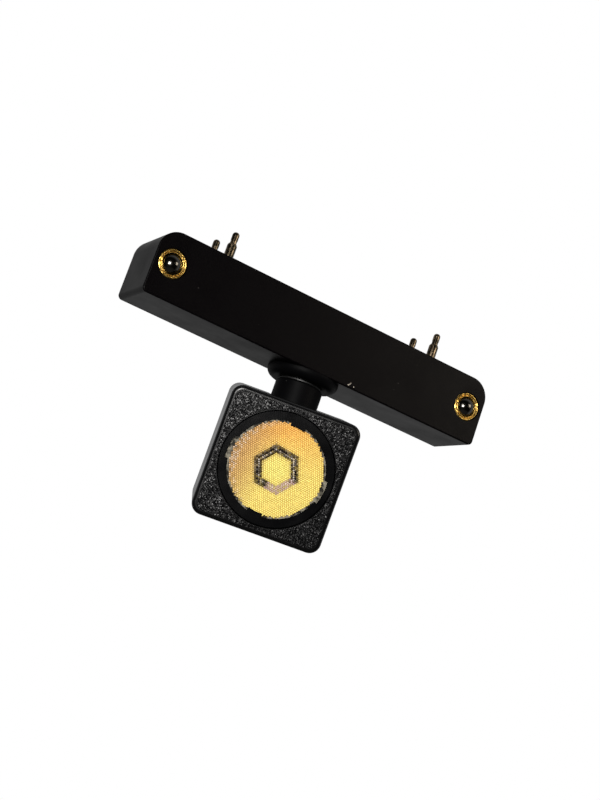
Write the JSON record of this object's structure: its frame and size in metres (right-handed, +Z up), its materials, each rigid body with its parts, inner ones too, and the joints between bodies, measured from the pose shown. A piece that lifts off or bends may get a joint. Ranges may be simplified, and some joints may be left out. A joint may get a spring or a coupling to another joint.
{
  "type": "track spotlight",
  "caption": "Black low-voltage track spotlight: a bar adapter with sprung contact pins and ball detents, a swivel stem, and a square tilting head with a honeycomb TIR lens.",
  "frame": {"origin": "centre of the adapter bar's top face, the face that lies against the track", "axes": "+X along the bar, +Z up into the track, -Y the side the head faces when its swivel is at zero"},
  "size_m": [0.08, 0.0372, 0.0556],
  "materials": {
    "anodised_black_aluminium": "satin black anodised",
    "textured_black_head": "black, satin sides and a grained front",
    "black_insulator": "satin",
    "black_holder_plastic": "satin moulded",
    "chip_epoxy": "matt moulded",
    "contact_brass": "tarnished",
    "detent_brass": "turned, bright",
    "bearing_steel": "polished",
    "spring_steel": "drawn wire",
    "plated_steel": "zinc plated",
    "black_screw_steel": "black oxide",
    "nylon": "satin",
    "board_laminate": "solder resist",
    "ferrite": "matt",
    "can_aluminium": "drawn",
    "component_ceramic": "matt",
    "led_board_aluminium": "white solder mask",
    "phosphor_silicone": "satin",
    "lens_acrylic": "clear, with a fine honeycomb of lenslets",
    "wire_red": "satin",
    "wire_black": "satin"
  },
  "bodies": {
    "adapter": {"adapter_body": "anodised_black_aluminium", "contact_plate": "black_insulator", "plate_screws": "black_screw_steel", "driver_board": "board_laminate", "inductor": "ferrite", "smoothing_capacitor": "can_aluminium", "driver_chip": "chip_epoxy", "rectifier": "chip_epoxy", "chip_components": "component_ceramic", "swivel_bush": "anodised_black_aluminium", "stop_pin": "plated_steel", "adapter_wire_red": "wire_red", "adapter_wire_black": "wire_black", "contact_barrel_left_front": "contact_brass", "contact_barrel_left_rear": "contact_brass", "contact_barrel_right_front": "contact_brass", "contact_barrel_right_rear": "contact_brass", "contact_spring_left_front": "spring_steel", "contact_spring_left_rear": "spring_steel", "contact_spring_right_front": "spring_steel", "contact_spring_right_rear": "spring_steel", "detent_sleeve_left_front": "detent_brass", "detent_sleeve_left_rear": "detent_brass", "detent_sleeve_right_front": "detent_brass", "detent_sleeve_right_rear": "detent_brass", "detent_spring_left_front": "spring_steel", "detent_spring_left_rear": "spring_steel", "detent_spring_right_front": "spring_steel", "detent_spring_right_rear": "spring_steel"},
    "stem": {"stem": "anodised_black_aluminium", "swivel_washer": "nylon", "stop_washer": "plated_steel", "spring_washer": "spring_steel", "swivel_nut": "plated_steel", "pivot_screws": "black_screw_steel", "tilt_washers": "nylon", "stem_wire_red": "wire_red", "stem_wire_black": "wire_black"},
    "head": {"head_shell": "textured_black_head", "rear_cover": "textured_black_head", "cover_screws": "black_screw_steel", "tilt_bracket": "plated_steel", "bracket_screws": "plated_steel", "led_board": "led_board_aluminium", "led_board_screws": "plated_steel", "led_package": "component_ceramic", "led_phosphor": "phosphor_silicone", "tir_lens": "lens_acrylic", "lens_holder": "black_holder_plastic", "head_wire_red": "wire_red", "head_wire_black": "wire_black"},
    "contact_left_front": {"contact_plunger_left_front": "contact_brass"},
    "contact_left_rear": {"contact_plunger_left_rear": "contact_brass"},
    "contact_right_front": {"contact_plunger_right_front": "contact_brass"},
    "contact_right_rear": {"contact_plunger_right_rear": "contact_brass"},
    "detent_left_front": {"detent_ball_left_front": "bearing_steel"},
    "detent_left_rear": {"detent_ball_left_rear": "bearing_steel"},
    "detent_right_front": {"detent_ball_right_front": "bearing_steel"},
    "detent_right_rear": {"detent_ball_right_rear": "bearing_steel"}
  },
  "joints": [
    {"name": "swivel", "type": "hinge", "parent": "adapter", "child": "stem", "pos_m": [0.0009, 0, -0.0159], "axis": [0, 0, 1], "range_deg": [-145.2, 184.8]},
    {"name": "tilt", "type": "hinge", "parent": "stem", "child": "head", "pos_m": [0.0009, 0, -0.028], "axis": [0.9409, -0.3387, 0], "range_deg": [-13.2, 76.8]},
    {"name": "contact_left_front_press", "type": "slide", "parent": "adapter", "child": "contact_left_front", "axis": [0, 0, -1], "range_m": [0, 0.0018], "stiffness_N_per_m": 400, "springref_m": -0.0008, "deforming": ["contact_spring_left_front"]},
    {"name": "contact_left_rear_press", "type": "slide", "parent": "adapter", "child": "contact_left_rear", "axis": [0, 0, -1], "range_m": [0, 0.0018], "stiffness_N_per_m": 400, "springref_m": -0.0008, "deforming": ["contact_spring_left_rear"]},
    {"name": "contact_right_front_press", "type": "slide", "parent": "adapter", "child": "contact_right_front", "axis": [0, 0, -1], "range_m": [0, 0.0018], "stiffness_N_per_m": 400, "springref_m": -0.0008, "deforming": ["contact_spring_right_front"]},
    {"name": "contact_right_rear_press", "type": "slide", "parent": "adapter", "child": "contact_right_rear", "axis": [0, 0, -1], "range_m": [0, 0.0018], "stiffness_N_per_m": 400, "springref_m": -0.0008, "deforming": ["contact_spring_right_rear"]},
    {"name": "detent_left_front_press", "type": "slide", "parent": "adapter", "child": "detent_left_front", "axis": [0, 1, 0], "range_m": [0, 0.0009], "stiffness_N_per_m": 2500, "springref_m": -0.0008, "deforming": ["detent_spring_left_front"]},
    {"name": "detent_left_rear_press", "type": "slide", "parent": "adapter", "child": "detent_left_rear", "axis": [0, -1, 0], "range_m": [0, 0.0009], "stiffness_N_per_m": 2500, "springref_m": -0.0008, "deforming": ["detent_spring_left_rear"]},
    {"name": "detent_right_front_press", "type": "slide", "parent": "adapter", "child": "detent_right_front", "axis": [0, 1, 0], "range_m": [0, 0.0009], "stiffness_N_per_m": 2500, "springref_m": -0.0008, "deforming": ["detent_spring_right_front"]},
    {"name": "detent_right_rear_press", "type": "slide", "parent": "adapter", "child": "detent_right_rear", "axis": [0, -1, 0], "range_m": [0, 0.0009], "stiffness_N_per_m": 2500, "springref_m": -0.0008, "deforming": ["detent_spring_right_rear"]}
  ]
}
